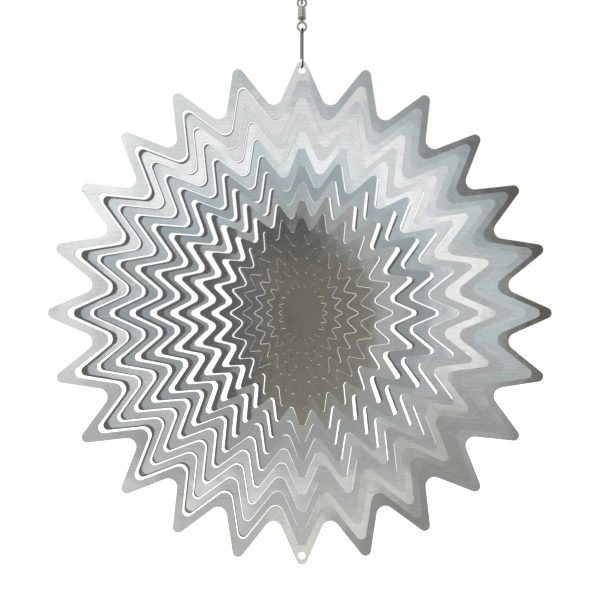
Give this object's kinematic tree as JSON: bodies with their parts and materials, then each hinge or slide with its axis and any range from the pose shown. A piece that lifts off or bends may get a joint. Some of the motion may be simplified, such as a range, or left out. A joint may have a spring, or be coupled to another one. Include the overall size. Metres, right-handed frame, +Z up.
{
  "type": "hanging wind spinner",
  "caption": "Hanging sunburst wind spinner: nested zig-zag rings of one slit steel sheet, joined by twisting bridges, on an open wire link and a ball-bearing swivel.",
  "frame": {"origin": "the point where a stranger's hook bears, at the inside top of the hanging ring", "axes": "+Z up; the flat sheet lies in the XZ plane and faces -Y; +X is to the right when its face is looked at"},
  "size_m": [0.3048, 0.0832, 0.3578],
  "materials": {
    "sheet_steel": "laser-cut stainless sheet, grain running across, with fine scratches",
    "link_wire": "dark, oiled steel wire",
    "swivel_metal": "dull nickel plate on brass",
    "ball_steel": "polished bearing steel",
    "ring_wire": "drawn stainless wire, welded closed"
  },
  "bodies": {
    "hanging_ring": {"hanging_ring": "ring_wire"},
    "swivel_body": {"swivel_barrel": "swivel_metal", "swivel_cap": "swivel_metal", "upper_eye": "swivel_metal", "race_washer": "ball_steel"},
    "ball_set": {"bearing_balls": "ball_steel"},
    "lower_eye": {"lower_eye": "swivel_metal"},
    "open_link": {"open_link": "link_wire"},
    "outer_ring": {"outer_ring": "sheet_steel"},
    "ring_01": {"ring_01": "sheet_steel", "twist_bridge_01": "sheet_steel"},
    "ring_02": {"ring_02": "sheet_steel", "twist_bridge_02": "sheet_steel"},
    "ring_03": {"ring_03": "sheet_steel", "twist_bridge_03": "sheet_steel"},
    "ring_04": {"ring_04": "sheet_steel", "twist_bridge_04": "sheet_steel"},
    "ring_05": {"ring_05": "sheet_steel", "twist_bridge_05": "sheet_steel"},
    "ring_06": {"ring_06": "sheet_steel", "twist_bridge_06": "sheet_steel"},
    "ring_07": {"ring_07": "sheet_steel", "twist_bridge_07": "sheet_steel"},
    "ring_08": {"ring_08": "sheet_steel", "twist_bridge_08": "sheet_steel"},
    "ring_09": {"ring_09": "sheet_steel", "twist_bridge_09": "sheet_steel"},
    "ring_10": {"ring_10": "sheet_steel", "twist_bridge_10": "sheet_steel"},
    "ring_11": {"ring_11": "sheet_steel", "twist_bridge_11": "sheet_steel"},
    "ring_12": {"ring_12": "sheet_steel", "twist_bridge_12": "sheet_steel"},
    "centre_plate": {"centre_plate": "sheet_steel", "twist_bridge_13": "sheet_steel"}
  },
  "joints": [
    {"name": "swivel_swing", "type": "hinge", "parent": "hanging_ring", "child": "swivel_body", "pos_m": [0, 0, -0.0148], "axis": [0, 1, 0], "range_deg": [-30, 30]},
    {"name": "swivel_spin", "type": "hinge", "parent": "swivel_body", "child": "lower_eye", "pos_m": [0, 0, -0.02564], "axis": [0, 0, 1], "continuous": true},
    {"name": "ball_roll", "type": "hinge", "parent": "swivel_body", "child": "ball_set", "pos_m": [0, 0, -0.02564], "axis": [0, 0, 1], "continuous": true},
    {"name": "link_swing", "type": "hinge", "parent": "lower_eye", "child": "open_link", "pos_m": [0, 0, -0.03294], "axis": [1, 0, 0], "range_deg": [-25, 25]},
    {"name": "sheet_swing", "type": "hinge", "parent": "open_link", "child": "outer_ring", "pos_m": [0, 0, -0.05503], "axis": [0, 1, 0], "range_deg": [-20, 20]},
    {"name": "twist_01", "type": "hinge", "parent": "outer_ring", "child": "ring_01", "pos_m": [0, 0, -0.20382], "axis": [0, 0, -1], "range_deg": [-3.4, 11.6]},
    {"name": "twist_02", "type": "hinge", "parent": "ring_01", "child": "ring_02", "pos_m": [0, 0, -0.20382], "axis": [0, 0, -1], "range_deg": [-2.1, 12.9]},
    {"name": "twist_03", "type": "hinge", "parent": "ring_02", "child": "ring_03", "pos_m": [0, 0, -0.20382], "axis": [0, 0, -1], "range_deg": [-3, 12]},
    {"name": "twist_04", "type": "hinge", "parent": "ring_03", "child": "ring_04", "pos_m": [0, 0, -0.20382], "axis": [0, 0, -1], "range_deg": [-3.9, 11.1]},
    {"name": "twist_05", "type": "hinge", "parent": "ring_04", "child": "ring_05", "pos_m": [0, 0, -0.20382], "axis": [0, 0, -1], "range_deg": [-4.8, 10.2]},
    {"name": "twist_06", "type": "hinge", "parent": "ring_05", "child": "ring_06", "pos_m": [0, 0, -0.20382], "axis": [0, 0, -1], "range_deg": [-6, 9]},
    {"name": "twist_07", "type": "hinge", "parent": "ring_06", "child": "ring_07", "pos_m": [0, 0, -0.20382], "axis": [0, 0, -1], "range_deg": [-6.8, 8.2]},
    {"name": "twist_08", "type": "hinge", "parent": "ring_07", "child": "ring_08", "pos_m": [0, 0, -0.20382], "axis": [0, 0, -1], "range_deg": [-6.3, 8.7]},
    {"name": "twist_09", "type": "hinge", "parent": "ring_08", "child": "ring_09", "pos_m": [0, 0, -0.20382], "axis": [0, 0, -1], "range_deg": [-1.9, 13.1]},
    {"name": "twist_10", "type": "hinge", "parent": "ring_09", "child": "ring_10", "pos_m": [0, 0, -0.20382], "axis": [0, 0, -1], "range_deg": [-0.5, 14.5]},
    {"name": "twist_11", "type": "hinge", "parent": "ring_10", "child": "ring_11", "pos_m": [0, 0, -0.20382], "axis": [0, 0, -1], "range_deg": [-1, 14]},
    {"name": "twist_12", "type": "hinge", "parent": "ring_11", "child": "ring_12", "pos_m": [0, 0, -0.20382], "axis": [0, 0, -1], "range_deg": [-1, 14]},
    {"name": "twist_13", "type": "hinge", "parent": "ring_12", "child": "centre_plate", "pos_m": [0, 0, -0.20382], "axis": [0, 0, -1], "range_deg": [-1, 14]}
  ],
  "couplings": [
    {"joint": "ball_roll", "follows": "swivel_spin", "ratio": 0.5}
  ]
}
